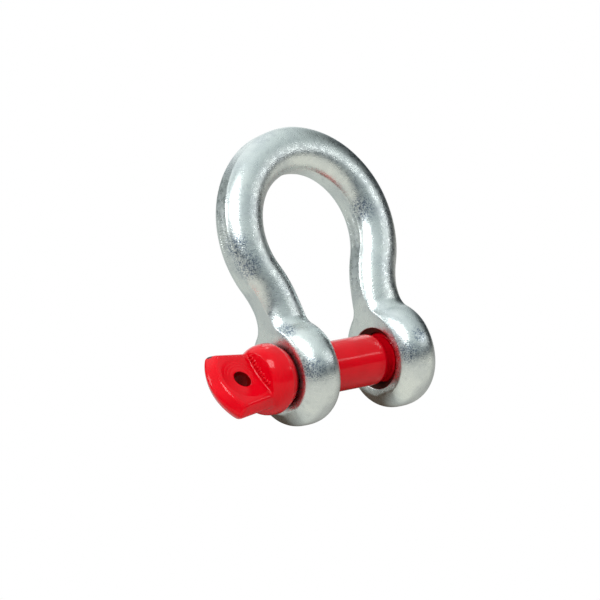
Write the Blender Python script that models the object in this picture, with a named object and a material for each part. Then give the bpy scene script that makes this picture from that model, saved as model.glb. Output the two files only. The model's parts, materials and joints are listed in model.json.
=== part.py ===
"""Bow shackle with a screw pin: a forged, galvanised bow and a red painted pin.

Units are metres. +X runs along the pin towards the threaded ear, +Z towards the crown.
The origin is on the pin's axis, midway between the ears.
"""

import math

import bmesh
import bpy

MM = 0.001

# Pin: shank, collar and thread, all turned about the X axis
PIN_RADIUS = 11.1 * MM
SEAT_GAP = 0.3 * MM
COLLAR_RADIUS = 15.4 * MM
COLLAR_SEAT_RADIUS = 13.0 * MM
COLLAR_BACK_ROUND = 4.1 * MM
COLLAR_BAND = 3.1 * MM
COLLAR_DOME = 7.1 * MM
DOME_EXPONENT = 3.0
SHANK_END = 13.8 * MM
NECK_START = 18.0 * MM
NECK_END = 19.6 * MM
NECK_RADIUS = 9.7 * MM
THREAD_RADIUS = 10.9 * MM
THREAD_RUN_IN = 1.2 * MM
TIP_PAST_EAR = 1.0 * MM
TIP_CHAMFER = 1.4 * MM

# Eye tab on the pin's head
TAB_LENGTH = 17.8 * MM
TAB_ROOT_WIDTH = 26.4 * MM
TAB_END_WIDTH = 33.3 * MM
TAB_THICKNESS = 9.6 * MM
TAB_END_RISE = 6.3 * MM
TAB_END_SLANT = 0.06
TAB_SIDE_DRAFT = 2.4 * MM
TAB_END_DRAFT = 3.0 * MM
TAB_EDGE_ROUND = 0.9 * MM
TAB_TURN = math.radians(-26.0)
EYE_RADIUS = 3.9 * MM
EYE_FROM_COLLAR = 8.4 * MM
DISH_RADIUS = 8.2 * MM
DISH_DEPTH = 0.6 * MM

# Bow: the bar, its path and the two ears
BAR_HALF_WIDTH = 10.25 * MM
BAR_HALF_DEPTH = 9.1 * MM
BAR_EXPONENT = 2.2
FLAT_FROM_CENTRE = 9.8 * MM
CROWN_RADIUS = 36.6 * MM
CROWN_HEIGHT = 59.6 * MM
SWEEP_HEIGHT = 23.0 * MM
EAR_X = 27.6 * MM
EAR_RADIUS = 22.5 * MM
EAR_HALF_SWELL = 11.9 * MM
EAR_EXPONENT = 2.7
EAR_FILLET = 6.2 * MM
BLEND_START = 7.8 * MM
BLEND_END = 32.0 * MM
LEAST_FLAT = 0.985

# Holes in the ears
CLEARANCE_RADIUS = 12.0 * MM
TAPPED_RADIUS = 11.2 * MM
MOUTH_RADIUS = 13.25 * MM
MOUTH_DEPTH = 2.5 * MM
CUTTER_PAST = 5.0 * MM

# Mesh fineness
CROWN_STEPS = 19
SWEEP_STEPS = 9
EAR_TOP_STEPS = 8
EAR_BOTTOM_STEPS = 9
SIDE_STEPS = 11
TURNED_SEGMENTS = 64
DOME_STEPS = 8
ARC_STEPS = 14

# The sweep's circle touches the crown's circle from outside and the ear's upright centreline
SWEEP_DROP = CROWN_HEIGHT - SWEEP_HEIGHT
SWEEP_RADIUS = (EAR_X**2 + SWEEP_DROP**2 - CROWN_RADIUS**2) / (2 * (CROWN_RADIUS - EAR_X))
SWEEP_ANGLE = math.atan2(SWEEP_DROP, EAR_X + SWEEP_RADIUS)

JAW_X = EAR_X - FLAT_FROM_CENTRE
OUTER_X = EAR_X + FLAT_FROM_CENTRE
COLLAR_BACK_X = -(OUTER_X + SEAT_GAP)
COLLAR_FRONT_X = COLLAR_BACK_X - COLLAR_BACK_ROUND - COLLAR_BAND - COLLAR_DOME
TIP_X = OUTER_X + TIP_PAST_EAR


def clear_scene():
    for obj in list(bpy.data.objects):
        bpy.data.objects.remove(obj, do_unlink=True)


def make_material(name, colour, metallic, roughness):
    material = bpy.data.materials.new(name)
    material.use_nodes = True
    shader = material.node_tree.nodes["Principled BSDF"]
    shader.inputs["Base Color"].default_value = (*colour, 1.0)
    shader.inputs["Metallic"].default_value = metallic
    shader.inputs["Roughness"].default_value = roughness
    return material


def make_object(name, bm, material=None, smooth_below=math.radians(32)):
    bmesh.ops.recalc_face_normals(bm, faces=bm.faces)
    mesh = bpy.data.meshes.new(name)
    bm.to_mesh(mesh)
    bm.free()
    for polygon in mesh.polygons:
        polygon.use_smooth = True
    mesh.set_sharp_from_angle(angle=smooth_below)
    obj = bpy.data.objects.new(name, mesh)
    bpy.context.scene.collection.objects.link(obj)
    if material:
        mesh.materials.append(material)
    return obj


def hide_helper(obj):
    obj.hide_render = True
    obj.display_type = "WIRE"


def add_boolean(obj, operation, other):
    modifier = obj.modifiers.new(f"{operation.lower()} {other.name}", "BOOLEAN")
    modifier.operation = operation
    modifier.solver = "EXACT"
    modifier.object = other


def turned(name, profile, material=None):
    """A solid turned about X from (x, radius) points whose first and last lie on the axis."""
    bm = bmesh.new()
    start = bm.verts.new((profile[0][0], 0.0, 0.0))
    end = bm.verts.new((profile[-1][0], 0.0, 0.0))
    rings = []
    for x, radius in profile[1:-1]:
        ring = []
        for i in range(TURNED_SEGMENTS):
            angle = 2 * math.pi * i / TURNED_SEGMENTS
            ring.append(bm.verts.new((x, radius * math.cos(angle), radius * math.sin(angle))))
        rings.append(ring)
    skin_rings(bm, rings, start, end)
    return make_object(name, bm, material)


def skin_rings(bm, rings, start, end):
    """Faces between neighbouring rings, with a fan to one vertex at each end."""
    count = len(rings[0])
    for i in range(count):
        j = (i + 1) % count
        bm.faces.new((start, rings[0][j], rings[0][i]))
        for first, second in zip(rings, rings[1:]):
            bm.faces.new((first[i], first[j], second[j], second[i]))
        bm.faces.new((end, rings[-1][i], rings[-1][j]))


# Bow


def centreline():
    """Points (x, z) with outward normals from the crown's top to the right ear's lowest point."""
    stations = []
    for i in range(CROWN_STEPS + 1):
        angle = math.pi / 2 - (math.pi / 2 + SWEEP_ANGLE) * i / CROWN_STEPS
        normal = (math.cos(angle), math.sin(angle))
        stations.append((CROWN_RADIUS * normal[0], CROWN_HEIGHT + CROWN_RADIUS * normal[1], normal))
    for i in range(1, SWEEP_STEPS + 1):
        angle = -SWEEP_ANGLE * (1 - i / SWEEP_STEPS)
        normal = (math.cos(angle), math.sin(angle))
        x = EAR_X + SWEEP_RADIUS * (1 - normal[0])
        stations.append((x, SWEEP_HEIGHT - SWEEP_RADIUS * normal[1], normal))
    for i in range(1, EAR_TOP_STEPS + 1):
        stations.append((EAR_X, SWEEP_HEIGHT * (1 - i / EAR_TOP_STEPS), (1.0, 0.0)))
    for i in range(1, EAR_BOTTOM_STEPS):
        angle = math.pi / 2 * i / EAR_BOTTOM_STEPS
        stations.append((EAR_X, -EAR_RADIUS * math.sin(angle), (1.0, 0.0)))
    return stations


def half_depth(z):
    """Half of the bow's size along Y: the ear's circle, a fillet, then the bar."""
    fillet_z = math.sqrt((EAR_RADIUS + EAR_FILLET) ** 2 - (BAR_HALF_DEPTH + EAR_FILLET) ** 2)
    tangent_z = fillet_z * EAR_RADIUS / (EAR_RADIUS + EAR_FILLET)
    if z >= fillet_z:
        return BAR_HALF_DEPTH
    if z >= tangent_z:
        return BAR_HALF_DEPTH + EAR_FILLET - math.sqrt(EAR_FILLET**2 - (z - fillet_z) ** 2)
    return math.sqrt(EAR_RADIUS**2 - z**2)


def section_ring(station):
    """(across, y) points of the cross-section: two rounded sides and two flats."""
    z = station[1]
    blend = min(max((z - BLEND_START) / (BLEND_END - BLEND_START), 0.0), 1.0)
    blend = blend * blend * (3 - 2 * blend)
    width = EAR_HALF_SWELL + (BAR_HALF_WIDTH - EAR_HALF_SWELL) * blend
    exponent = EAR_EXPONENT + (BAR_EXPONENT - EAR_EXPONENT) * blend
    if z < 0:
        width *= (1 - (-z / EAR_RADIUS) ** EAR_EXPONENT) ** (1 / EAR_EXPONENT)
    flat = min(FLAT_FROM_CENTRE, LEAST_FLAT * width)
    edge = math.acos((flat / width) ** (exponent / 2))
    depth = half_depth(z)
    side = []
    for i in range(SIDE_STEPS + 1):
        angle = edge + (math.pi - 2 * edge) * i / SIDE_STEPS
        cosine = math.cos(angle)
        across = math.copysign(width * abs(cosine) ** (2 / exponent), cosine)
        side.append((across, depth * math.sin(angle) ** (2 / exponent)))
    side[0] = (flat, side[0][1])
    side[-1] = (-flat, side[-1][1])
    other_side = [(across, -y) for across, y in reversed(side)]
    return [(flat, 0.0), *side, (-flat, 0.0), *other_side]


def bow_blank():
    bm = bmesh.new()
    half = centreline()
    left = [(-x, z, (-normal[0], normal[1])) for x, z, normal in reversed(half[1:])]
    rings = []
    for station in left + half:
        x, z, normal = station
        ring = []
        for across, y in section_ring(station):
            ring.append(bm.verts.new((x + normal[0] * across, y, z + normal[1] * across)))
        rings.append(ring)
    start = bm.verts.new((-EAR_X, 0.0, -EAR_RADIUS))
    end = bm.verts.new((EAR_X, 0.0, -EAR_RADIUS))
    skin_rings(bm, rings, start, end)
    return bm


def ear_hole_cutter():
    """One stepped boring tool: clearance hole, the jaw it crosses, countersink and tapped hole."""
    past = OUTER_X + CUTTER_PAST
    profile = [
        (-past, 0.0),
        (-past, CLEARANCE_RADIUS),
        (0.0, CLEARANCE_RADIUS),
        (0.0, MOUTH_RADIUS),
        (JAW_X, MOUTH_RADIUS),
        (JAW_X + MOUTH_DEPTH, TAPPED_RADIUS),
        (past, TAPPED_RADIUS),
        (past, 0.0),
    ]
    return turned("ear_hole_cutter", profile)


def make_bow(material):
    bow = make_object("bow", bow_blank(), material)
    cutter = ear_hole_cutter()
    hide_helper(cutter)
    add_boolean(bow, "DIFFERENCE", cutter)
    return bow


# Screw pin


def pin_profile():
    dome_start_x = COLLAR_FRONT_X + COLLAR_DOME
    profile = [(COLLAR_FRONT_X, 0.0)]
    for i in range(1, DOME_STEPS + 1):
        angle = math.pi / 2 * (1 - i / DOME_STEPS)
        rise = math.sin(angle) ** (2 / DOME_EXPONENT)
        radius = COLLAR_RADIUS * math.cos(angle) ** (2 / DOME_EXPONENT)
        profile.append((dome_start_x - COLLAR_DOME * rise, radius))
    round_start_x = COLLAR_BACK_X - COLLAR_BACK_ROUND
    for i in range(DOME_STEPS + 1):
        angle = math.pi / 2 * i / DOME_STEPS
        drop = (COLLAR_RADIUS - COLLAR_SEAT_RADIUS) * (1 - math.cos(angle))
        profile.append((round_start_x + COLLAR_BACK_ROUND * math.sin(angle), COLLAR_RADIUS - drop))
    profile += [
        (COLLAR_BACK_X, PIN_RADIUS),
        (SHANK_END, PIN_RADIUS),
        (NECK_START, NECK_RADIUS),
        (NECK_END, NECK_RADIUS),
        (NECK_END + THREAD_RUN_IN, THREAD_RADIUS),
        (TIP_X - TIP_CHAMFER, THREAD_RADIUS),
        (TIP_X, THREAD_RADIUS - TIP_CHAMFER),
        (TIP_X, 0.0),
    ]
    return profile


def tab_outline(draft):
    """(x, z) corners of the tab, drawn in by a share of the draft: tapering sides and an arched end."""
    root_x = COLLAR_FRONT_X + COLLAR_DOME
    end_x = COLLAR_FRONT_X - TAB_LENGTH + draft * TAB_END_DRAFT
    half_root = TAB_ROOT_WIDTH / 2 - draft * TAB_SIDE_DRAFT
    half_end = TAB_END_WIDTH / 2 - draft * TAB_SIDE_DRAFT
    arc_radius = (half_end**2 + TAB_END_RISE**2) / (2 * TAB_END_RISE)
    arc_half_angle = math.asin(half_end / arc_radius)
    outline = [(root_x, -half_root), (root_x, half_root)]
    for i in range(ARC_STEPS + 1):
        angle = arc_half_angle * (1 - 2 * i / ARC_STEPS)
        z = arc_radius * math.sin(angle)
        x = end_x - TAB_END_RISE + arc_radius * (1 - math.cos(angle))
        outline.append((x + TAB_END_SLANT * (z + half_end), z))
    return outline


def make_tab():
    """Two faces and the wider parting line between them, with the edges rounded."""
    bm = bmesh.new()
    half = TAB_THICKNESS / 2
    rings = []
    for y, draft in ((-half, 1.0), (0.0, 0.0), (half, 1.0)):
        rings.append([bm.verts.new((x, y, z)) for x, z in tab_outline(draft)])
    bm.faces.new(rings[0])
    bm.faces.new(rings[-1])
    count = len(rings[0])
    for first, second in zip(rings, rings[1:]):
        for i in range(count):
            j = (i + 1) % count
            bm.faces.new((first[i], first[j], second[j], second[i]))
    tab = make_object("tab_blank", bm)
    bevel = tab.modifiers.new("edges", "BEVEL")
    bevel.width = TAB_EDGE_ROUND
    bevel.segments = 3
    bevel.limit_method = "ANGLE"
    bevel.angle_limit = math.radians(30)
    return tab


def make_eye_cutter():
    """The eye's drill with a shallow dish on each face of the tab, turned about Y."""
    eye_x = COLLAR_FRONT_X - EYE_FROM_COLLAR
    face_y = TAB_THICKNESS / 2
    steps = 5
    profile = []
    for i in range(steps + 1):
        reach = 1 - i / steps
        y = face_y - DISH_DEPTH * (1 - reach**2)
        profile.append((y, EYE_RADIUS + (DISH_RADIUS - EYE_RADIUS) * reach))
    upper = [(face_y * 2, 0.0), (face_y * 2, DISH_RADIUS), *profile]
    lower = [(-y, radius) for y, radius in reversed(upper)]
    cutter = turned("eye_cutter", upper + lower)
    cutter.rotation_euler = (0.0, 0.0, math.pi / 2)
    cutter.location = (eye_x, 0.0, 0.0)
    return cutter


def make_screw_pin(material):
    pin = turned("screw_pin", pin_profile(), material)
    tab = make_tab()
    eye = make_eye_cutter()
    for helper in (tab, eye):
        hide_helper(helper)
        helper.parent = pin
    add_boolean(pin, "UNION", tab)
    add_boolean(pin, "DIFFERENCE", eye)
    pin.rotation_euler = (TAB_TURN, 0.0, 0.0)
    return pin


def main():
    clear_scene()
    zinc = make_material("galvanised_steel", (0.62, 0.64, 0.64), 1.0, 0.34)
    paint = make_material("red_paint", (0.72, 0.006, 0.012), 0.0, 0.12)
    make_bow(zinc)
    make_screw_pin(paint)


main()
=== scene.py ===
import json
import math

import bmesh
import bpy
import numpy as np
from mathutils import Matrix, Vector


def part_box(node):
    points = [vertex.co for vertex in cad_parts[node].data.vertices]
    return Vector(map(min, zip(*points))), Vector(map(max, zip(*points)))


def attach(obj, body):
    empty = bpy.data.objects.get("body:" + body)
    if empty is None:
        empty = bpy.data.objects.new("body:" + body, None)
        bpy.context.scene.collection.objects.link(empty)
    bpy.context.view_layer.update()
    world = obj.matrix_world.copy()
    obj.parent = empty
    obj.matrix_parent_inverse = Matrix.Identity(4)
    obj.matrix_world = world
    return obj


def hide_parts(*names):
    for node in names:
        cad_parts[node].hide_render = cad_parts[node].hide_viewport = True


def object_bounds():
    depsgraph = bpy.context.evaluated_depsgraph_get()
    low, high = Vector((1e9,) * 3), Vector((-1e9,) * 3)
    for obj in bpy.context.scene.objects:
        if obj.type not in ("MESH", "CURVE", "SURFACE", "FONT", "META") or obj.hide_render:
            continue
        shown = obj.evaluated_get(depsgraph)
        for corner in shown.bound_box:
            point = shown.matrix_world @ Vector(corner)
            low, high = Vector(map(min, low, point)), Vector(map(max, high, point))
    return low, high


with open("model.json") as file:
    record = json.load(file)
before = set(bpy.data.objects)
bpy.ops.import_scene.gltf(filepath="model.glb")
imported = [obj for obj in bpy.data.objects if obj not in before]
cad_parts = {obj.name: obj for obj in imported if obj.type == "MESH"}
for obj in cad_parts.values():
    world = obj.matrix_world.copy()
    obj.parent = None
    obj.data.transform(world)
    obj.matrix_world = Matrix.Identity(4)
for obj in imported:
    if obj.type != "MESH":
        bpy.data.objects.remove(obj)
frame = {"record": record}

import openvdb
from mathutils import Matrix, Vector, noise

# Looks of the bow shackle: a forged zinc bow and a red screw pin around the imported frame.
# Lengths are in metres. +X runs along the pin towards the threaded ear, and +Z to the crown.

MM = 0.001

# Sizes that the frame gives
cad_low, cad_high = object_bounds()
bow_low, bow_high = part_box("bow")
pin_low, pin_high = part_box("screw_pin")
MOUNTS = {mount["name"]: mount for mount in frame["record"]["mounts"]}
PIN_RADIUS = MOUNTS["pin_bearing"]["dims"]["r_mm"] * MM
JAW_X = MOUNTS["jaw_face_far"]["pos_m"][0]
EAR_RADIUS = -bow_low.z
TIP_X = pin_high.x

# Bow section: a superellipse with two flats, which swells and squares up at the ears
FLAT_FROM_CENTRE = 9.8 * MM
BAR_HALF_WIDTH = 10.25 * MM
BAR_HALF_DEPTH = 9.1 * MM
BAR_EXPONENT = 2.2
EAR_HALF_SWELL = 11.9 * MM
EAR_EXPONENT = 2.7
EAR_FILLET = 6.2 * MM
BLEND_START = 7.8 * MM
BLEND_END = 32.0 * MM
WIDEST_FLAT = 0.985  # distance of a flat from the centre, as a share of the half width, at most

# Bow path: a crown arc, a sweep back in and a straight ear
EAR_X = JAW_X + FLAT_FROM_CENTRE
OUTER_X = EAR_X + FLAT_FROM_CENTRE
CROWN_RADIUS = bow_high.x - FLAT_FROM_CENTRE
CROWN_HEIGHT = bow_high.z - bow_high.x
SWEEP_HEIGHT = 23.0 * MM
SWEEP_DROP = CROWN_HEIGHT - SWEEP_HEIGHT
SWEEP_RADIUS = (EAR_X**2 + SWEEP_DROP**2 - CROWN_RADIUS**2) / (2 * (CROWN_RADIUS - EAR_X))
SWEEP_ANGLE = math.atan2(SWEEP_DROP, EAR_X + SWEEP_RADIUS)
CROWN_END = CROWN_RADIUS * (math.pi / 2 + SWEEP_ANGLE)
SWEEP_END = CROWN_END + SWEEP_RADIUS * SWEEP_ANGLE
EAR_MIDDLE = SWEEP_END + SWEEP_HEIGHT
EAR_END = EAR_MIDDLE + EAR_RADIUS * math.pi / 2

# Bending marks: fine ribs pressed across the flats where the legs turn in
RIB_PITCH = 0.90 * MM
RIB_DEPTH = 0.25 * MM
RIB_LOW_Z = 43.0 * MM
RIB_HIGH_Z = 73.0 * MM
RIB_FADE = 6.0 * MM
RIB_SHARE = 0.7  # usual share of the full depth, which swings with two uneven waves
RIB_SWING = 0.3
RIB_SHORT_WAVE = 1.7 * MM
RIB_LONG_WAVE = 4.1 * MM
RIB_WAVE_SHIFT = 1.0
RIB_FULL_FROM = 0.45  # shares of the flat's half width
RIB_FULL_TO = 0.9

# Forged surface: shallow hollows, always inwards so that nothing grows into its neighbour
FORGE_WAVE = 12.0 * MM
FORGE_DEPTH = 0.12 * MM
PEEN_WAVE = 2.4 * MM
PEEN_DEPTH = 0.015 * MM

# Holes in the ears
CLEARANCE_RADIUS = 12.0 * MM
TAPPED_RADIUS = 11.2 * MM
MOUTH_RADIUS = 13.25 * MM
MOUTH_DEPTH = 2.5 * MM
RIM_ROUND = 0.7 * MM
RIM_STEPS = 6
CUTTER_PAST = 4.0 * MM
CUTTER_STRAIGHT = 0.2 * MM

# Thread
PITCH = 2.5 * MM
THREAD_DEPTH = 1.25 * MM
THREAD_RADIUS = 10.9 * MM
THREAD_SLOPE = 1.35
THREAD_ROOT_FLAT = 0.175
THREAD_STEP = PITCH / 14
RUN_OUT = 2.0 * MM

# Shank, from the collar to the tip
SHANK_END = 13.8 * MM
NECK_START = 18.0 * MM
NECK_END = 19.6 * MM
NECK_RADIUS = 9.7 * MM
PLAIN_TIP = 0.35 * MM
SHANK_STEPS = 60
SHOULDER_STEPS = 8

# Collar: flat front face, shoulder out to the rim, and a cone back to the seat
COLLAR_RADIUS = 15.4 * MM
COLLAR_SEAT_RADIUS = 13.0 * MM
COLLAR_CONE = 4.9 * MM
COLLAR_THICKNESS = 14.3 * MM
FACE_RADIUS = 12.3 * MM
FACE_DOME = 0.5 * MM
SHOULDER_POWER = 3.2
COLLAR_STEPS = 24
COLLAR_BACK_X = -OUTER_X - 0.3 * MM
COLLAR_RIM_X = COLLAR_BACK_X - COLLAR_CONE
COLLAR_FRONT_X = COLLAR_BACK_X - COLLAR_THICKNESS

# Tab: it widens to an arched, slightly slanted end, and its edges slope in from a parting line
TAB_TURN = math.radians(-26.0)
TAB_ROOT_X = COLLAR_FRONT_X + 7.1 * MM
TAB_LENGTH = 17.8 * MM
TAB_ROOT_WIDTH = 26.4 * MM
TAB_END_WIDTH = 33.3 * MM
TAB_THICKNESS = 9.6 * MM
TAB_END_RISE = 6.3 * MM
TAB_END_SLANT = 0.06
TAB_SIDE_DRAFT = 2.9 * MM
TAB_END_DRAFT = 3.8 * MM
PARTING_ROUND = 1.2 * MM
END_BLEND = 1.5 * MM
SIDE_BLEND = 1.0 * MM
CORNER_BLEND = 0.9 * MM
ROOT_FILLET = 0.9 * MM

# Eye through the tab, in a shallow dish with forging rings on its upper side
EYE_RADIUS = 3.9 * MM
EYE_RIM = 0.5 * MM
EYE_X = COLLAR_FRONT_X - 8.4 * MM
DISH_RADIUS = 10.5 * MM
DISH_DEPTH = 0.9 * MM
RING_PITCH = 1.5 * MM
RING_DEPTH = 0.07 * MM
RING_START = (5.0 * MM, 6.2 * MM)
RING_END = (8.6 * MM, 9.8 * MM)
RING_RISE = (1.5 * MM, 4.5 * MM)

# A row of small raised marks on the collar's face, beside the tab's root
PIP_X = COLLAR_FRONT_X + 0.10 * MM
PIP_Y = -6.6 * MM
PIP_Z = 8.6 * MM
PIP_COUNT = 11
PIP_PITCH = 1.55 * MM
PIP_RADIUS = 0.55 * MM
PIP_STRETCH = 1.8
PIP_SWAY = 0.35 * MM
PIP_SWAY_TURN = 2.4
PIP_BLEND = 0.3 * MM

# Mesh fineness
CROWN_STEP = 0.8 * MM
RIB_STEP = RIB_PITCH / 5
LEG_STEP = 0.7 * MM
PATH_PROBES = 4000
SIDE_STEPS = 40
FLAT_STEPS = 12
TURNED_SEGMENTS = 120
HEAD_CELL = 0.25 * MM
MARGIN_CELLS = 3
HEAD_SMOOTHING = 0.5
SHARP_ABOVE = math.radians(40)

# Zinc, with patches of dark speckles: centre and reach in millimetres
ZINC_PALE = (0.78, 0.83, 0.815, 1)
ZINC_DULL = (0.68, 0.73, 0.735, 1)
ZINC_STAIN = (0.50, 0.535, 0.56, 1)
ZINC_SPECK = (0.20, 0.25, 0.33, 1)
BORE_BROWN = (0.12, 0.07, 0.055, 1)
ZINC_ROUGHNESS = (0.25, 0.35)
BORE_ROUGHNESS = 0.3
COARSE_HEIGHT = 0.04 * MM
GRAIN_HEIGHT = 0.085 * MM
SPECKLED_CORE = 0.35
SPECKLED = [
    ((-45.0, -5.0, 58.0), 8.0),
    ((-43.0, -6.5, 49.0), 9.0),
    ((28.6, -6.6, 64.5), 8.0),
    ((-35.7, -11.1, 17.8), 6.0),
    ((-35.0, -19.7, -1.4), 7.5),
    ((20.5, -19.0, -2.5), 6.5),
    ((26.6, -22.2, 4.0), 5.0),
]

# Paint, with a chip at a corner of the tab, and painted shade in the gap behind the collar and inside the
# eye
PAINT_BRIGHT = (0.66, 0.0004, 0.008, 1)
PAINT_DEEP = (0.58, 0.0003, 0.006, 1)
# Painted shade: this dark red stands in for the shade in the gap between the collar and the near ear
PAINT_GAP_SHADE = (0.12, 0.001, 0.002, 1)
# Painted shade: this dark red stands in for the shade inside the tab's eye
PAINT_EYE_SHADE = (0.14, 0.001, 0.001, 1)
PAINT_CHIPPED = (0.035, 0.02, 0.02, 1)
PAINT_IOR = 1.3
PAINT_ROUGHNESS = (0.09, 0.15)
PAINT_SHINE = 0.5
# Lower shine in the gap and the eye, as painted shade on their reflections
SHELTERED_SHINE = 0.1
PEEL_HEIGHT = 0.02 * MM
CHIP = (COLLAR_FRONT_X - TAB_LENGTH + 2.2 * MM, -2.2 * MM, 15.6 * MM)
CHIP_EDGE = (2.3 * MM, 1.9 * MM)
CHIP_RAGGED = 1.4 * MM
CHIP_SUNK = 6.0  # in peel heights
CHIP_ROUGHNESS = 0.4

# Studio. The shackle leans back, so its own +Z isn't the studio's up.
# Each rise or fade is a pair of cosines of the angle from straight up or from straight back.
TRUE_UP = Vector((0.0, -0.40, 0.917)).normalized()
FLOOR_FRONT = (0.80, 0.79, 0.72, 1)
FLOOR_BACK = (0.56, 0.59, 0.57, 1)
FLOOR_SIDE = (0.46, 0.455, 0.43, 1)
FLOOR_SIDE_PATCH = (112, -16, 46, 18)
FLOOR_BACK_FADE = (0.25, 0.95)
FLOOR_EDGE = (-0.05, 0.01)
FLOOR_GREY = (0.86, 0.86, 0.86, 1)
FLOOR_HALF = 3.0
HORIZON = (0.09, 0.11, 0.125, 1)
WALL_MIDDLE = (0.60, 0.67, 0.67, 1)
WALL_TOP = (0.82, 0.89, 0.89, 1)
WALL_LEFT = (0.82, 0.86, 0.86, 1)
WALL_PALE = (1.05, 1.10, 1.10, 1)
WALL_BACK = (0.17, 0.195, 0.19, 1)
WALL_DARK = (0.02, 0.025, 0.028, 1)
MIDDLE_RISE = (0.14, 0.60)
TOP_RISE = (0.60, 0.92)
SEEN_WHITE = (1, 1, 1, 1)

# Soft patches on the walls, in degrees: azimuth, elevation, outer reach and inner reach
WALL_PATCHES = [
    ((-116, 35, 34, 14), WALL_LEFT),
    ((143, 30, 24, 8), WALL_PALE),
    ((150, 78, 36, 14), WALL_PALE),
    ((84, 10, 40, 16), WALL_DARK),
    ((-168, 64, 24, 8), WALL_PALE),
    ((-76, 62, 24, 8), WALL_MIDDLE),
    ((-161, 31, 25, 12), WALL_BACK),
    ((-138, 10, 27, 12), HORIZON),
]

# Softboxes: name, azimuth and elevation in degrees, width and height in metres, radiance
SOFTBOX_DISTANCE = 0.62
SOFTBOXES = [
    ("key", -47, 33, 0.30, 0.26, 9.0),
    ("back_left", -113, 34, 0.20, 0.20, 5.0),
    ("small", 46, 8, 0.20, 0.05, 4.5),
]

# Contact shadow, centred a little behind and to the left of the ears' middle
SHADOW_BROWN = (0.10, 0.077, 0.06, 1)
SHADOW_HALF = 0.09
SHADOW_BELOW = 0.5 * MM
SHADOW_BEHIND = 12 * MM
SHADOW_LEFT = 4 * MM
SHADOW_FULL = 11 * MM
SHADOW_EDGE = 25 * MM

# Camera, with angles in degrees
AIM = Vector((-7.25, 8.16, 32.18)) * MM
CAMERA_AZIMUTH = -41.0
CAMERA_ELEVATION = -6.18
CAMERA_ROLL = -15.68
CAMERA_DISTANCE = 2.488
CAMERA_LENS = 346.3


# Meshes


def shade(mesh):
    """Smooth shading, with the mesh's real edges kept crisp."""
    for polygon in mesh.polygons:
        polygon.use_smooth = True
    mesh.set_sharp_from_angle(angle=SHARP_ABOVE)


def link(name, mesh, material=None):
    """A shaded object of the mesh."""
    shade(mesh)
    obj = bpy.data.objects.new(name, mesh)
    bpy.context.scene.collection.objects.link(obj)
    if material:
        mesh.materials.append(material)
    return obj


def face_outwards(mesh, smoothing=0.0):
    """Turns every face outwards, and evens the points out by that share."""
    shell = bmesh.new()
    shell.from_mesh(mesh)
    bmesh.ops.recalc_face_normals(shell, faces=shell.faces)
    if smoothing:
        axes = {"use_axis_x": True, "use_axis_y": True, "use_axis_z": True}
        bmesh.ops.smooth_vert(shell, verts=shell.verts, factor=smoothing, **axes)
    shell.to_mesh(mesh)
    shell.free()


def closed_tube(name, points, start, end):
    """A closed mesh from rings of points, shape (rings, points per ring, 3), and a pole at each end."""
    rings, count = points.shape[:2]
    vertices = np.concatenate([points.reshape(-1, 3), [start, end]])
    index = np.arange(rings * count).reshape(rings, count)
    ahead = np.roll(index, -1, axis=1)
    walls = np.stack([index[:-1], ahead[:-1], ahead[1:], index[1:]], axis=-1).reshape(-1, 4)
    first_pole, last_pole = rings * count, rings * count + 1
    faces = walls.tolist()
    faces += [(first_pole, int(b), int(a)) for a, b in zip(index[0], ahead[0])]
    faces += [(last_pole, int(a), int(b)) for a, b in zip(index[-1], ahead[-1])]
    mesh = bpy.data.meshes.new(name)
    mesh.from_pydata(vertices.tolist(), [], faces)
    face_outwards(mesh)
    return mesh


def coordinates(mesh):
    flat = np.empty(len(mesh.vertices) * 3, np.float32)
    mesh.vertices.foreach_get("co", flat)
    return flat.reshape(-1, 3).astype(float)


def set_coordinates(mesh, points):
    mesh.vertices.foreach_set("co", points.astype(np.float32).ravel())
    mesh.update()


def boolean(obj, operation, other):
    """Applies the Boolean to obj, shades the result and removes the other object."""
    modifier = obj.modifiers.new(operation, "BOOLEAN")
    modifier.operation = operation
    modifier.solver = "MANIFOLD"
    modifier.object = other
    graph = bpy.context.evaluated_depsgraph_get()
    result = bpy.data.meshes.new_from_object(obj.evaluated_get(graph))
    obj.modifiers.clear()
    obj.data = result
    shade(obj.data)
    bpy.data.objects.remove(other, do_unlink=True)


def smooth(low, high, value):
    """0 at low to 1 at high, level at both."""
    part = np.clip((value - low) / (high - low), 0.0, 1.0)
    return part * part * (3 - 2 * part)


# Bow


def bow_path(along):
    """(x, z, angle of the outward normal) on the +X half, by distance along it from the crown's top."""
    crown_angle = math.pi / 2 - along / CROWN_RADIUS
    sweep_angle = (along - SWEEP_END) / SWEEP_RADIUS
    stretches = [along < CROWN_END, along < SWEEP_END, along < EAR_MIDDLE]
    angle = np.select(stretches, [crown_angle, sweep_angle, 0 * along])
    crown_x = CROWN_RADIUS * np.cos(crown_angle)
    sweep_x = EAR_X + SWEEP_RADIUS * (1 - np.cos(sweep_angle))
    x = np.select(stretches, [crown_x, sweep_x, 0 * along + EAR_X], EAR_X)
    crown_z = CROWN_HEIGHT + CROWN_RADIUS * np.sin(crown_angle)
    sweep_z = SWEEP_HEIGHT - SWEEP_RADIUS * np.sin(sweep_angle)
    upper_z = EAR_MIDDLE - along
    lower_z = EAR_RADIUS * np.sin(upper_z / EAR_RADIUS)
    z = np.select(stretches, [crown_z, sweep_z, upper_z], lower_z)
    return x, z, angle


def bow_stations():
    """Distances along the +X half, close together where the ribs are."""
    probe = np.linspace(0, SWEEP_END, PATH_PROBES)
    z = bow_path(probe)[1]
    rib_start = probe[z > RIB_HIGH_Z][-1]
    rib_end = probe[z > RIB_LOW_Z][-1]
    crown = np.arange(0, rib_start, CROWN_STEP)
    ribs = np.arange(rib_start, rib_end, RIB_STEP)
    leg = np.arange(rib_end, EAR_END - LEG_STEP / 3, LEG_STEP)
    return np.concatenate([crown, ribs, leg])


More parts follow.
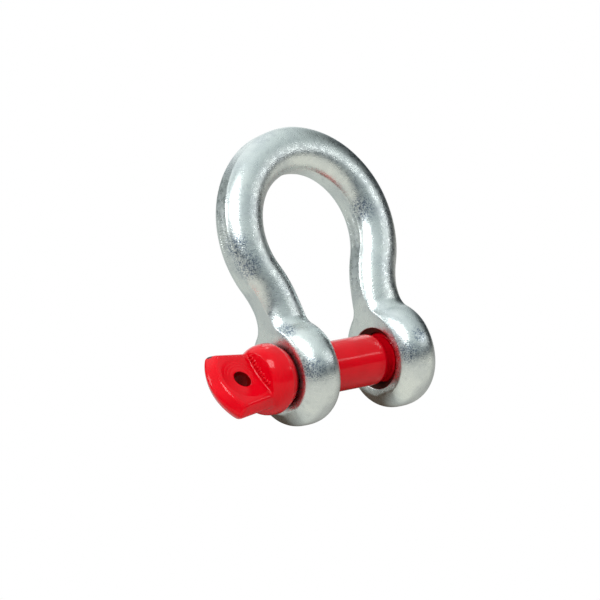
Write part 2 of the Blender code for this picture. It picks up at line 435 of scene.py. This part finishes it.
def half_depth(z):
    """Half of the bow's size along Y: the ear's circle, a fillet, then the bar."""
    fillet_z = math.sqrt((EAR_RADIUS + EAR_FILLET) ** 2 - (BAR_HALF_DEPTH + EAR_FILLET) ** 2)
    tangent_z = fillet_z * EAR_RADIUS / (EAR_RADIUS + EAR_FILLET)
    in_fillet = np.clip(EAR_FILLET**2 - (z - fillet_z) ** 2, 0, None)
    in_ear = np.clip(EAR_RADIUS**2 - z**2, 0, None)
    return np.select(
        [z >= fillet_z, z >= tangent_z],
        [np.full_like(z, BAR_HALF_DEPTH), BAR_HALF_DEPTH + EAR_FILLET - np.sqrt(in_fillet)],
        np.sqrt(in_ear),
    )


def bow_sections(z, along):
    """(across, y) of each station's ring: a rounded side, a flat, the other side and the other flat."""
    blend = smooth(BLEND_START, BLEND_END, z)
    width = EAR_HALF_SWELL + (BAR_HALF_WIDTH - EAR_HALF_SWELL) * blend
    exponent = EAR_EXPONENT + (BAR_EXPONENT - EAR_EXPONENT) * blend
    below = np.clip(-z / EAR_RADIUS, 0, 1)
    width = width * (1 - below**EAR_EXPONENT) ** (1 / EAR_EXPONENT)
    flat = np.minimum(FLAT_FROM_CENTRE, WIDEST_FLAT * width)
    edge = np.arccos((flat / width) ** (exponent / 2))
    part = np.linspace(0, 1, SIDE_STEPS + 1)[None, :]
    angle = edge[:, None] + (math.pi - 2 * edge[:, None]) * part
    power = 2 / exponent[:, None]
    cosine = np.cos(angle)
    side_across = width[:, None] * np.sign(cosine) * np.abs(cosine) ** power
    side_y = half_depth(z)[:, None] * np.sin(angle) ** power
    side_across[:, 0] = flat
    side_across[:, -1] = -flat
    flat_part = np.linspace(1, -1, FLAT_STEPS + 1)[None, 1:-1]
    flat_y = side_y[:, :1] * flat_part
    flat_across = flat[:, None] - rib_depth(z, along)[:, None] * rib_reach(flat_part)
    across = np.hstack([side_across, -flat_across, -side_across, flat_across])
    y = np.hstack([side_y, flat_y, -side_y, -flat_y])
    return across, y


def rib_depth(z, along):
    """Depth of the bending marks at each station."""
    starts = smooth(RIB_LOW_Z, RIB_LOW_Z + RIB_FADE, z)
    ends = 1 - smooth(RIB_HIGH_Z - RIB_FADE, RIB_HIGH_Z, z)
    wave = 0.5 - 0.5 * np.cos(2 * math.pi * along / RIB_PITCH)
    swing = np.sin(along / RIB_SHORT_WAVE) * np.sin(along / RIB_LONG_WAVE + RIB_WAVE_SHIFT)
    return RIB_DEPTH * starts * ends * wave * (RIB_SHARE + RIB_SWING * swing)


def rib_reach(flat_part):
    """The marks are deepest towards both edges of the flat and fade out at its middle and its edges."""
    from_middle = np.abs(flat_part)
    return smooth(0.0, RIB_FULL_FROM, from_middle) * (1 - smooth(RIB_FULL_TO, 1.0, from_middle))


def forge(mesh):
    """Sinks shallow hollows into the surface, as forging leaves."""
    normals = np.empty(len(mesh.vertices) * 3, np.float32)
    mesh.vertex_normals.foreach_get("vector", normals)
    normals = normals.reshape(-1, 3)
    points = coordinates(mesh)
    sunk = np.empty(len(points))
    for i, point in enumerate(points):
        place = Vector(point)
        broad = 0.5 + 0.5 * noise.noise(place / FORGE_WAVE)
        fine = 0.5 + 0.5 * noise.noise(place / PEEN_WAVE)
        sunk[i] = FORGE_DEPTH * broad + PEEN_DEPTH * fine
    set_coordinates(mesh, points - normals * sunk[:, None])


def bow_blank(material):
    """The bow before its holes are cut."""
    stations = bow_stations()
    along = np.concatenate([-stations[:0:-1], stations])
    x, z, angle = bow_path(np.abs(along))
    side = np.where(along < 0, -1.0, 1.0)
    across, y = bow_sections(z, np.abs(along))
    ring_x = side[:, None] * (x[:, None] + np.cos(angle)[:, None] * across)
    ring_z = z[:, None] + np.sin(angle)[:, None] * across
    points = np.stack([ring_x, y, ring_z], axis=-1)
    mesh = closed_tube("bow_forging", points, (-EAR_X, 0, -EAR_RADIUS), (EAR_X, 0, -EAR_RADIUS))
    forge(mesh)
    return link("bow_forging", mesh, material)


def make_bow(material):
    bow = bow_blank(material)
    boolean(bow, "DIFFERENCE", ear_hole_cutter())
    return bow


# Threaded shapes


def thread_wave(x, angle):
    """0 at the root to 1 at the crest of a right-hand thread with flats on both."""
    turn = (x / PITCH - angle / (2 * math.pi)) % 1.0
    return np.clip(THREAD_SLOPE * (1 - np.abs(2 * turn - 1)) - THREAD_ROOT_FLAT, 0, 1)


def threaded(name, profile, thread_from, thread_to, material=None):
    """A solid turned about X from (x, radius) points, with a thread between two x that rises from it."""
    profile_x, profile_radius = np.array(profile).T
    fine = np.arange(thread_from, thread_to, THREAD_STEP)
    plain = (profile_x < thread_from) | (profile_x > thread_to)
    xs = np.concatenate([profile_x[plain], fine])
    radii = np.concatenate([profile_radius[plain], np.interp(fine, profile_x, profile_radius)])
    order = np.argsort(xs, kind="stable")
    xs, radii = xs[order], radii[order]
    starts = smooth(thread_from, thread_from + RUN_OUT, xs)
    ends = 1 - smooth(thread_to - RUN_OUT, thread_to, xs)
    angle = np.linspace(0, 2 * math.pi, TURNED_SEGMENTS, endpoint=False)[None, :]
    height = THREAD_DEPTH * (starts * ends)[:, None] * thread_wave(xs[:, None], angle)
    rings = radii[:, None] + height
    along = np.repeat(xs[:, None], TURNED_SEGMENTS, axis=1)
    points = np.stack([along, rings * np.cos(angle), rings * np.sin(angle)], axis=-1)
    mesh = closed_tube(name, points, (xs[0], 0, 0), (xs[-1], 0, 0))
    return link(name, mesh, material)


def rim(face_x, radius, outward):
    """Profile points of a hole's rounded rim at a face. outward is the direction that leaves the metal."""
    wide = radius + RIM_ROUND
    points = [
        (face_x + outward * CUTTER_PAST, wide),
        (face_x + outward * CUTTER_STRAIGHT, wide),
    ]
    for i in range(RIM_STEPS + 1):
        turn = math.pi / 2 * i / RIM_STEPS
        inwards = RIM_ROUND * (1 - math.cos(turn))
        points.append((face_x - outward * inwards, wide - RIM_ROUND * math.sin(turn)))
    return points


def ear_hole_cutter():
    """One stepped boring tool: clearance hole, countersunk mouth and the tapped hole's grooves."""
    profile = [
        *rim(-OUTER_X, CLEARANCE_RADIUS, -1),
        *rim(-JAW_X, CLEARANCE_RADIUS, 1)[::-1],
        *rim(JAW_X, MOUTH_RADIUS, -1),
        (JAW_X + MOUTH_DEPTH, TAPPED_RADIUS),
        *rim(OUTER_X, TAPPED_RADIUS, 1)[::-1],
    ]
    return threaded("ear_hole_cutter", profile, JAW_X + MOUTH_DEPTH, OUTER_X - RIM_ROUND)


def shank_profile():
    """(x, radius) from inside the collar to the tip, at the thread's root where it is threaded."""
    thread_root = THREAD_RADIUS - THREAD_DEPTH
    profile = []
    for i in range(SHANK_STEPS):
        profile.append((COLLAR_RIM_X + (SHANK_END - COLLAR_RIM_X) * i / SHANK_STEPS, PIN_RADIUS))
    for i in range(SHOULDER_STEPS + 1):
        part = i / SHOULDER_STEPS
        ease = math.sin(math.pi / 2 * part) ** 2
        radius = PIN_RADIUS - (PIN_RADIUS - NECK_RADIUS) * ease
        profile.append((SHANK_END + (NECK_START - SHANK_END) * part, radius))
    return [*profile, (NECK_END, thread_root), (TIP_X, thread_root)]


# Pin head


def outline_distance(points, outline):
    """Signed distance of 2-D points to a closed outline, negative inside."""
    start = np.array(outline)
    end = np.roll(start, -1, axis=0)
    nearest = np.full(len(points), np.inf)
    inside = np.zeros(len(points), bool)
    for a, b in zip(start, end):
        edge = b - a
        part = np.clip(((points - a) @ edge) / (edge @ edge), 0, 1)
        nearest = np.minimum(nearest, np.hypot(*(points - a - part[:, None] * edge).T))
        crosses = (a[1] > points[:, 1]) != (b[1] > points[:, 1])
        rise = edge[1] if edge[1] else 1.0
        inside ^= crosses & (points[:, 0] < a[0] + edge[0] * (points[:, 1] - a[1]) / rise)
    return np.where(inside, -nearest, nearest)


def collar_outline():
    """(x, radius) outline of the collar on both sides of the axis: face, shoulder, rim and cone."""
    upper = [(COLLAR_FRONT_X, 0.0)]
    for i in range(1, COLLAR_STEPS + 1):
        part = i / COLLAR_STEPS
        upper.append((COLLAR_FRONT_X + FACE_DOME * part**2, FACE_RADIUS * part))
    shoulder_x = COLLAR_FRONT_X + FACE_DOME
    for i in range(1, COLLAR_STEPS + 1):
        part = i / COLLAR_STEPS
        rise = 1 - (1 - part) ** SHOULDER_POWER
        x = shoulder_x + (COLLAR_RIM_X - shoulder_x) * part
        upper.append((x, FACE_RADIUS + (COLLAR_RADIUS - FACE_RADIUS) * rise))
    upper.append((COLLAR_BACK_X, COLLAR_SEAT_RADIUS))
    lower = [(x, -radius) for x, radius in reversed(upper)]
    return upper + lower[:-1]


def collar_distance(x, y, z):
    """Signed distance to the collar, from its outline's distance by x and radius."""
    grid_x, grid_r = x[:, 0, 0], z[0, 0, :]
    plane = np.stack(np.meshgrid(grid_x, grid_r, indexing="ij"), -1).reshape(-1, 2)
    table = outline_distance(plane, collar_outline()).reshape(len(grid_x), -1)
    place = (np.hypot(y, z)[0] - grid_r[0]) / (grid_r[1] - grid_r[0])
    lower = np.clip(place.astype(int), 0, len(grid_r) - 2)
    part = np.clip(place - lower, 0, 1)
    return table[:, lower] * (1 - part) + table[:, lower + 1] * part


def tab_sides(x, y, z):
    """Distance outside the tab's tapering sides and outside its arched end, negative inside.

    Both slope inwards from the parting line at y = 0 to the faces.
    """
    end_x = COLLAR_FRONT_X - TAB_LENGTH
    half_root, half_end = TAB_ROOT_WIDTH / 2, TAB_END_WIDTH / 2
    from_parting = np.sqrt(y**2 + PARTING_ROUND**2) - PARTING_ROUND
    share = from_parting / (TAB_THICKNESS / 2)
    taper = (half_end - half_root) / (TAB_ROOT_X - end_x)
    side = np.abs(z) - half_end + taper * (x - end_x) + share * TAB_SIDE_DRAFT
    side_slope = math.atan2(TAB_SIDE_DRAFT, TAB_THICKNESS / 2)
    arc_radius = (half_end**2 + TAB_END_RISE**2) / (2 * TAB_END_RISE)
    arc_x = end_x - TAB_END_RISE + arc_radius
    unslanted = x - TAB_END_SLANT * (z + half_end)
    end = np.hypot(unslanted - arc_x, z) - arc_radius + share * TAB_END_DRAFT
    end_slope = math.atan2(TAB_END_DRAFT, TAB_THICKNESS / 2)
    return side * math.cos(math.atan(taper)) * math.cos(side_slope), end * math.cos(end_slope)


def blended_minimum(a, b, reach):
    overlap = np.clip(reach - np.abs(a - b), 0, None) / reach
    return np.minimum(a, b) - overlap**2 * reach / 4


def blended_maximum(a, b, reach):
    return -blended_minimum(-a, -b, reach)


def forge_rings(from_eye, z):
    """Depth of the shallow rings around the upper side of the eye, left by the forging die."""
    span = smooth(*RING_START, from_eye) * (1 - smooth(*RING_END, from_eye)) * smooth(*RING_RISE, z)
    return RING_DEPTH * span * (0.5 + 0.5 * np.cos(2 * math.pi * from_eye / RING_PITCH))


def pips(x, y, z):
    """Distance to a straight row of small raised marks on the collar's front."""
    index = np.clip(np.round((PIP_Z - z) / PIP_PITCH), 0, PIP_COUNT - 1)
    from_z = z - PIP_Z + index * PIP_PITCH
    from_y = (y - PIP_Y - PIP_SWAY * np.sin(PIP_SWAY_TURN * index)) / PIP_STRETCH
    return np.sqrt((x - PIP_X) ** 2 + from_y**2 + from_z**2) - PIP_RADIUS


def head_field(x, y, z):
    """Signed distance to the collar and the dished eye tab, with the root filleted."""
    from_eye = np.hypot(x - EYE_X, z)
    dish = DISH_DEPTH * (1 - np.clip(from_eye / DISH_RADIUS, 0, 1) ** 2)
    face = np.abs(y) - TAB_THICKNESS / 2 + dish + forge_rings(from_eye, z) * (y < 0)
    side, end = tab_sides(x, y, z)
    plan = blended_maximum(side, end, CORNER_BLEND)
    at_end = smooth(END_BLEND, 0, end - side)
    tab = blended_maximum(face, plan, SIDE_BLEND + (END_BLEND - SIDE_BLEND) * at_end)
    tab = np.maximum(tab, x - TAB_ROOT_X)
    head = blended_minimum(collar_distance(x, y, z), tab, ROOT_FILLET)
    head = blended_minimum(head, pips(x, y, z), PIP_BLEND)
    return blended_maximum(head, EYE_RADIUS - from_eye, EYE_RIM)


def make_head():
    """The head as one closed mesh, from its distance field."""
    margin = MARGIN_CELLS * HEAD_CELL
    xs = np.arange(pin_low.x - margin, COLLAR_BACK_X + margin, HEAD_CELL)
    half = math.ceil((COLLAR_RADIUS + margin) / HEAD_CELL)
    across = np.arange(-half, half + 1) * HEAD_CELL
    field = head_field(xs[:, None, None], across[None, :, None], across[None, None, :])
    grid = openvdb.FloatGrid(1.0)
    grid.copyFromArray(field / HEAD_CELL)
    points, quads = grid.convertToQuads(0.0)
    points = points * HEAD_CELL + np.array([xs[0], across[0], across[0]])
    mesh = bpy.data.meshes.new("screw_pin_forging")
    mesh.from_pydata(points.tolist(), [], quads.tolist())
    face_outwards(mesh, HEAD_SMOOTHING)
    return mesh


def make_screw_pin(material):
    pin = link("screw_pin_forging", make_head(), material)
    pin.data.transform(Matrix.Rotation(TAB_TURN, 4, "X"))
    shank = threaded("shank", shank_profile(), NECK_END, TIP_X - PLAIN_TIP, material)
    boolean(pin, "UNION", shank)
    return pin


# Materials


class Nodes:
    """Short calls for building a node tree."""

    def __init__(self, tree):
        self.tree = tree
        tree.nodes.clear()

    def add(self, kind, **settings):
        node = self.tree.nodes.new(kind)
        for name, value in settings.items():
            setattr(node, name, value)
        return node

    def feed(self, socket, value):
        """Links another node's socket, or sets a plain value. None leaves the socket alone."""
        if isinstance(value, bpy.types.NodeSocket):
            self.tree.links.new(value, socket)
        elif value is not None:
            socket.default_value = value

    def coordinates(self, kind="Object"):
        return self.add("ShaderNodeTexCoord").outputs[kind]

    def noise(self, place, scale, detail=2.0, roughness=0.5):
        """Noise from 0 to 1, with about that many waves in a metre."""
        node = self.add("ShaderNodeTexNoise")
        self.feed(node.inputs["Vector"], place)
        node.inputs["Scale"].default_value = scale
        node.inputs["Detail"].default_value = detail
        node.inputs["Roughness"].default_value = roughness
        return node.outputs["Fac"]

    def ramp(self, value, low, high, to_low=0.0, to_high=1.0):
        """A smooth step from to_low at low to to_high at high."""
        node = self.add("ShaderNodeMapRange", interpolation_type="SMOOTHSTEP")
        names = ("Value", "From Min", "From Max", "To Min", "To Max")
        for name, item in zip(names, (value, low, high, to_low, to_high)):
            self.feed(node.inputs[name], item)
        return node.outputs["Result"]

    def math(self, operation, a, b=None):
        node = self.add("ShaderNodeMath", operation=operation)
        self.feed(node.inputs[0], a)
        self.feed(node.inputs[1], b)
        return node.outputs["Value"]

    def times(self, *factors):
        product = factors[0]
        for factor in factors[1:]:
            product = self.math("MULTIPLY", product, factor)
        return product

    def length(self, *parts):
        """Square root of the sum of the parts' squares."""
        total = self.math("POWER", parts[0], 2)
        for part in parts[1:]:
            total = self.math("ADD", total, self.math("POWER", part, 2))
        return self.math("SQRT", total)

    def vector_math(self, operation, a, b):
        node = self.add("ShaderNodeVectorMath", operation=operation)
        self.feed(node.inputs[0], a)
        self.feed(node.inputs[1], b)
        return node.outputs["Value"]

    def split(self, vector):
        """The X, Y and Z of a vector."""
        node = self.add("ShaderNodeSeparateXYZ")
        self.feed(node.inputs[0], vector)
        return tuple(node.outputs)

    def mix(self, factor, a, b):
        node = self.add("ShaderNodeMix", data_type="RGBA")
        self.feed(node.inputs["Factor"], factor)
        self.feed(node.inputs["A"], a)
        self.feed(node.inputs["B"], b)
        return node.outputs["Result"]

    def bump(self, height, distance, normal=None):
        node = self.add("ShaderNodeBump")
        node.inputs["Strength"].default_value = 1.0
        node.inputs["Distance"].default_value = distance
        self.feed(node.inputs["Height"], height)
        self.feed(node.inputs["Normal"], normal)
        return node.outputs["Normal"]

    def mix_shaders(self, factor, a, b):
        node = self.add("ShaderNodeMixShader")
        for socket, value in zip(node.inputs, (factor, a, b)):
            self.feed(socket, value)
        return node.outputs["Shader"]

    def finish(self, shader, kind="ShaderNodeOutputMaterial"):
        """Ends the tree in its output."""
        self.feed(self.add(kind).inputs["Surface"], shader)


def new_material(name):
    """A material with an empty tree, and its nodes."""
    material = bpy.data.materials.new(name)
    material.use_nodes = True
    return material, Nodes(material.node_tree)


def bore_mask(nodes, place):
    """1 on the inside of the ears' holes and in the far hole's mouth."""
    x, y, z = nodes.split(place)
    across = nodes.math("ABSOLUTE", x)
    near_axis = nodes.ramp(nodes.length(y, z), MOUTH_RADIUS + 0.9 * MM, MOUTH_RADIUS)
    past_jaw = nodes.ramp(across, JAW_X + 0.2 * MM, JAW_X + 0.5 * MM)
    before_outer = nodes.ramp(across, OUTER_X - 0.2 * MM, OUTER_X - 0.5 * MM)
    return nodes.times(near_axis, past_jaw, before_outer)


def speck_mask(nodes, place):
    """1 on fine dark specks, which are dense in the speckled patches and thin elsewhere."""
    specks = nodes.ramp(nodes.noise(place, scale=1700, roughness=0.6), 0.46, 0.58)
    patch = nodes.ramp(nodes.noise(place, scale=75), 0.55, 0.75, 0.0, 0.35)
    for centre, reach in SPECKLED:
        from_centre = nodes.vector_math("DISTANCE", place, tuple(part * MM for part in centre))
        here = nodes.ramp(from_centre, reach * MM, SPECKLED_CORE * reach * MM)
        patch = nodes.math("MAXIMUM", patch, here)
    return nodes.times(specks, patch)


def zinc_material():
    """Zinc over a blasted forging: pale, mottled, with fine grain that breaks up each reflection."""
    material, nodes = new_material("galvanised_zinc")
    shader = nodes.add("ShaderNodeBsdfPrincipled")
    place = nodes.coordinates()
    cloud = nodes.noise(place, scale=90, detail=3.0)
    stain = nodes.noise(place, scale=260, detail=4.0, roughness=0.6)
    coarse = nodes.noise(place, scale=520)
    grain = nodes.noise(place, scale=2100, detail=1.0)
    in_bore = bore_mask(nodes, place)
    colour = nodes.mix(nodes.ramp(cloud, 0.35, 0.65), ZINC_PALE, ZINC_DULL)
    colour = nodes.mix(nodes.ramp(stain, 0.56, 0.72, 0.0, 0.45), colour, ZINC_STAIN)
    colour = nodes.mix(speck_mask(nodes, place), colour, ZINC_SPECK)
    nodes.feed(shader.inputs["Base Color"], nodes.mix(in_bore, colour, BORE_BROWN))
    shader.inputs["Metallic"].default_value = 1.0
    roughness = nodes.ramp(coarse, 0.3, 0.7, *ZINC_ROUGHNESS)
    roughness = nodes.math("ADD", roughness, nodes.times(in_bore, BORE_ROUGHNESS))
    nodes.feed(shader.inputs["Roughness"], roughness)
    rough = nodes.bump(coarse, COARSE_HEIGHT)
    nodes.feed(shader.inputs["Normal"], nodes.bump(grain, GRAIN_HEIGHT, rough))
    nodes.finish(shader.outputs["BSDF"])
    return material


def gap_shade_mask(nodes, place):
    """1 on the pin in the gap between the collar and the near ear, where painted shade darkens the paint."""
    x = nodes.split(place)[0]
    from_collar = nodes.ramp(x, COLLAR_BACK_X - 2.4 * MM, COLLAR_BACK_X - 0.9 * MM)
    to_ear = nodes.ramp(x, COLLAR_BACK_X + 2.5 * MM, COLLAR_BACK_X + 0.5 * MM)
    return nodes.times(from_collar, to_ear)


def eye_shade_mask(nodes, on_tab):
    """1 on the wall of the tab's eye, where painted shade darkens the paint."""
    x, _, z = nodes.split(on_tab)
    from_eye = nodes.length(nodes.math("SUBTRACT", x, EYE_X), z)
    return nodes.ramp(from_eye, EYE_RADIUS + 0.35 * MM, EYE_RADIUS + 0.05 * MM)


def chip_mask(nodes, place, on_tab):
    """1 on a small ragged chip at the tab's corner."""
    from_chip = nodes.vector_math("DISTANCE", on_tab, CHIP)
    ragged = nodes.times(nodes.noise(place, scale=900), CHIP_RAGGED)
    return nodes.ramp(nodes.math("ADD", from_chip, ragged), *CHIP_EDGE)


def paint_material():
    """High-gloss red paint, with painted shade making it dark and dull in the eye and behind the collar, and
    chipped at a tab corner.
    """
    material, nodes = new_material("red_gloss_paint")
    shader = nodes.add("ShaderNodeBsdfPrincipled")
    place = nodes.coordinates()
    turned_back = nodes.add("ShaderNodeVectorRotate", rotation_type="X_AXIS")
    nodes.feed(turned_back.inputs["Vector"], place)
    turned_back.inputs["Angle"].default_value = -TAB_TURN
    on_tab = turned_back.outputs["Vector"]
    cloud = nodes.noise(place, scale=70)
    orange_peel = nodes.noise(place, scale=420)
    gap_shaded = gap_shade_mask(nodes, place)
    eye_shaded = eye_shade_mask(nodes, on_tab)
    chipped = chip_mask(nodes, place, on_tab)
    colour = nodes.mix(nodes.ramp(cloud, 0.3, 0.7), PAINT_BRIGHT, PAINT_DEEP)
    # The gap and eye tints are painted shade; the chip is real wear
    for mask, tint in ((gap_shaded, PAINT_GAP_SHADE), (eye_shaded, PAINT_EYE_SHADE), (chipped, PAINT_CHIPPED)):
        colour = nodes.mix(mask, colour, tint)
    nodes.feed(shader.inputs["Base Color"], colour)
    roughness = nodes.ramp(cloud, 0.3, 0.7, *PAINT_ROUGHNESS)
    roughness = nodes.math("ADD", roughness, nodes.times(chipped, CHIP_ROUGHNESS))
    nodes.feed(shader.inputs["Roughness"], roughness)
    shader.inputs["IOR"].default_value = PAINT_IOR
    # Painted shade on the reflections: the shine drops in the gap and the eye
    sheltered = nodes.math("MAXIMUM", gap_shaded, eye_shaded)
    shine = nodes.ramp(sheltered, 0.0, 1.0, PAINT_SHINE, SHELTERED_SHINE)
    nodes.feed(shader.inputs["Specular IOR Level"], shine)
    height = nodes.math("SUBTRACT", orange_peel, nodes.times(chipped, CHIP_SUNK))
    nodes.feed(shader.inputs["Normal"], nodes.bump(height, PEEL_HEIGHT))
    nodes.finish(shader.outputs["BSDF"])
    return material


# Stage, lights and camera


def direction(azimuth, elevation):
    """Unit vector from degrees: azimuth 0 is -Y and 90 is +X."""
    a, e = math.radians(azimuth), math.radians(elevation)
    return Vector((math.sin(a) * math.cos(e), -math.cos(a) * math.cos(e), math.sin(e)))


def make_world():
    """A pale studio: white where the camera looks, and softly graded in what the metal mirrors."""
    world = bpy.data.worlds.new("studio")
    bpy.context.scene.world = world
    world.use_nodes = True
    nodes = Nodes(world.node_tree)
    toward = nodes.coordinates("Generated")

    def along(vector):
        return nodes.vector_math("DOT_PRODUCT", toward, tuple(vector))

    def patch(azimuth, elevation, outer, inner):
        cosine = along(direction(azimuth, elevation))
        return nodes.ramp(cosine, math.cos(math.radians(outer)), math.cos(math.radians(inner)))

    height = along(TRUE_UP)
    walls = nodes.mix(nodes.ramp(height, *MIDDLE_RISE), HORIZON, WALL_MIDDLE)
    walls = nodes.mix(nodes.ramp(height, *TOP_RISE), walls, WALL_TOP)
    for place, colour in WALL_PATCHES:
        walls = nodes.mix(patch(*place), walls, colour)
    backwards = along(direction(180, 0))
    floor = nodes.mix(nodes.ramp(backwards, *FLOOR_BACK_FADE), FLOOR_FRONT, FLOOR_BACK)
    floor = nodes.mix(patch(*FLOOR_SIDE_PATCH), floor, FLOOR_SIDE)
    room = nodes.mix(nodes.ramp(height, *FLOOR_EDGE), floor, walls)
    seen = nodes.add("ShaderNodeLightPath").outputs["Is Camera Ray"]
    background = nodes.add("ShaderNodeBackground")
    nodes.feed(background.inputs["Color"], nodes.mix(seen, room, SEEN_WHITE))
    nodes.finish(background.outputs["Background"], "ShaderNodeOutputWorld")


def softbox(name, azimuth, elevation, width, height, radiance):
    """A rectangular area light that faces the object and isn't seen by the camera."""
    light = bpy.data.lights.new(name, "AREA")
    light.shape = "RECTANGLE"
    light.size = width
    light.size_y = height
    light.energy = radiance * math.pi * width * height
    obj = bpy.data.objects.new(name, light)
    bpy.context.scene.collection.objects.link(obj)
    away = direction(azimuth, elevation)
    obj.location = AIM + away * SOFTBOX_DISTANCE
    obj.rotation_euler = away.to_track_quat("Z", "Y").to_euler()
    obj.visible_camera = False


def square(name, middle, right, back, material):
    """A flat square around a point, which reaches right and back by those vectors."""
    mesh = bpy.data.meshes.new(name)
    corners = [-right - back, right - back, right + back, back - right]
    mesh.from_pydata(corners, [], [(0, 1, 2, 3)])
    mesh.materials.append(material)
    obj = bpy.data.objects.new(name, mesh)
    obj.location = middle
    bpy.context.scene.collection.objects.link(obj)
    return obj


def make_floor():
    """A plain pale floor at the ears' lowest point, shown from above only."""
    material, nodes = new_material("floor")
    plain = nodes.add("ShaderNodeBsdfDiffuse")
    plain.inputs["Color"].default_value = FLOOR_GREY
    clear = nodes.add("ShaderNodeBsdfTransparent")
    from_below = nodes.add("ShaderNodeNewGeometry").outputs["Backfacing"]
    nodes.finish(nodes.mix_shaders(from_below, plain.outputs["BSDF"], clear.outputs["BSDF"]))
    middle = Vector((0, 0, cad_low.z))
    floor = square("floor", middle, Vector((FLOOR_HALF, 0, 0)), Vector((0, FLOOR_HALF, 0)), material)
    floor.visible_glossy = False


def make_shadow_card():
    """The dark patch of real floor around the ears, seen only in the metal's reflections."""
    material, nodes = new_material("contact_shadow")
    x, y, z = nodes.split(nodes.coordinates())
    beyond_ears = nodes.math("SUBTRACT", nodes.math("ABSOLUTE", x), EAR_X)
    from_ears = nodes.length(nodes.math("MAXIMUM", beyond_ears, 0.0), y, z)
    in_shadow = nodes.ramp(from_ears, SHADOW_FULL, SHADOW_EDGE, 1.0, 0.0)
    dark = nodes.add("ShaderNodeEmission")
    dark.inputs["Color"].default_value = SHADOW_BROWN
    clear = nodes.add("ShaderNodeBsdfTransparent")
    nodes.finish(nodes.mix_shaders(in_shadow, clear.outputs["BSDF"], dark.outputs["Emission"]))
    right = Vector((1, 0, 0))
    back = TRUE_UP.cross(right)
    middle = back * SHADOW_BEHIND - right * SHADOW_LEFT - TRUE_UP * (EAR_RADIUS + SHADOW_BELOW)
    card = square("contact_shadow", middle, right * SHADOW_HALF, back * SHADOW_HALF, material)
    card.visible_camera = False
    card.visible_diffuse = False
    card.visible_shadow = False


def make_camera():
    data = bpy.data.cameras.new("camera")
    data.lens = CAMERA_LENS
    camera = bpy.data.objects.new("camera", data)
    bpy.context.scene.collection.objects.link(camera)
    back = direction(CAMERA_AZIMUTH, CAMERA_ELEVATION)
    level = direction(CAMERA_AZIMUTH + 90, 0)
    turn = Matrix.Rotation(math.radians(CAMERA_ROLL), 3, back)
    axes = Matrix((turn @ level, turn @ back.cross(level), back)).transposed()
    camera.matrix_world = Matrix.Translation(AIM + back * CAMERA_DISTANCE) @ axes.to_4x4()
    bpy.context.scene.camera = camera


def main():
    bpy.context.scene.view_settings.view_transform = "Standard"
    bow = make_bow(zinc_material())
    pin = make_screw_pin(paint_material())
    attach(bow, "bow")
    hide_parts("bow")
    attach(pin, "screw_pin")
    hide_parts("screw_pin")
    make_world()
    for row in SOFTBOXES:
        softbox(*row)
    make_floor()
    make_shadow_card()
    make_camera()


main()
